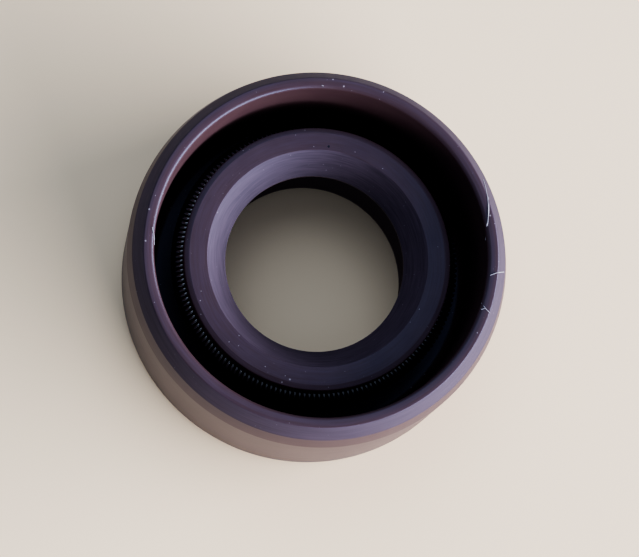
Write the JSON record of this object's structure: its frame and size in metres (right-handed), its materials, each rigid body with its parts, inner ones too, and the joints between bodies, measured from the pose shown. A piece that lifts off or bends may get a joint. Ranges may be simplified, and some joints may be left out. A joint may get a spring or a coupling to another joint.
{
  "type": "rotary shaft seal",
  "caption": "Rubber-covered shaft seal: a stiff ring presses into a housing, a sprung lip inside it grips a turning shaft, and a thin lip at the back keeps dust out.",
  "frame": {"origin": "centre of the flat back, on the seal's axis", "axes": "+Z along the axis, from the flat back towards the spring side; X and Y are any two directions across it"},
  "size_m": [0.024, 0.024, 0.01],
  "materials": {
    "fluororubber": "moulded, satin, brown",
    "insert_steel": "pressed sheet, bonded inside the rubber",
    "spring_steel": "bright drawn wire"
  },
  "bodies": {
    "root": {"rubber_body": "fluororubber", "steel_insert": "insert_steel", "garter_spring": "spring_steel"}
  },
  "joints": []
}
